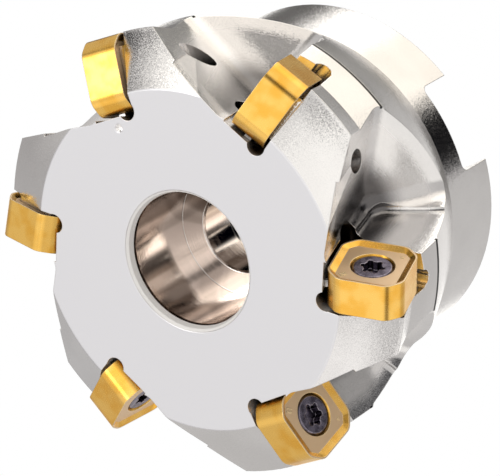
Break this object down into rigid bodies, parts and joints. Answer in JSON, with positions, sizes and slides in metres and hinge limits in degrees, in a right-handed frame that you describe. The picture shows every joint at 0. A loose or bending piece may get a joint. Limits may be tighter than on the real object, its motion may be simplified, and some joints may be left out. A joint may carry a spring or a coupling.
{
  "type": "high feed milling cutter",
  "caption": "Shell-type high feed face milling cutter with screwed square indexable inserts, coolant holes, a stepped arbor bore and drive slots.",
  "frame": {"origin": "centre of the arbor bore on the back face, the face that meets the arbor", "axes": "+Z along the spindle axis towards the cutting face, X along the drive slots, Y across them"},
  "size_m": [0.0606, 0.0627, 0.0389],
  "materials": {
    "body_steel": "satin nickel-plated tool steel",
    "insert_coating": "smooth gold-coloured nitride coating on cemented carbide",
    "screw_steel": "dark burnished screw steel"
  },
  "bodies": {
    "root": {"cutter_body": "body_steel", "insert_1": "insert_coating", "insert_2": "insert_coating", "insert_3": "insert_coating", "insert_4": "insert_coating", "insert_5": "insert_coating", "insert_6": "insert_coating", "insert_screw_1": "screw_steel", "insert_screw_2": "screw_steel", "insert_screw_3": "screw_steel", "insert_screw_4": "screw_steel", "insert_screw_5": "screw_steel", "insert_screw_6": "screw_steel"}
  },
  "joints": []
}
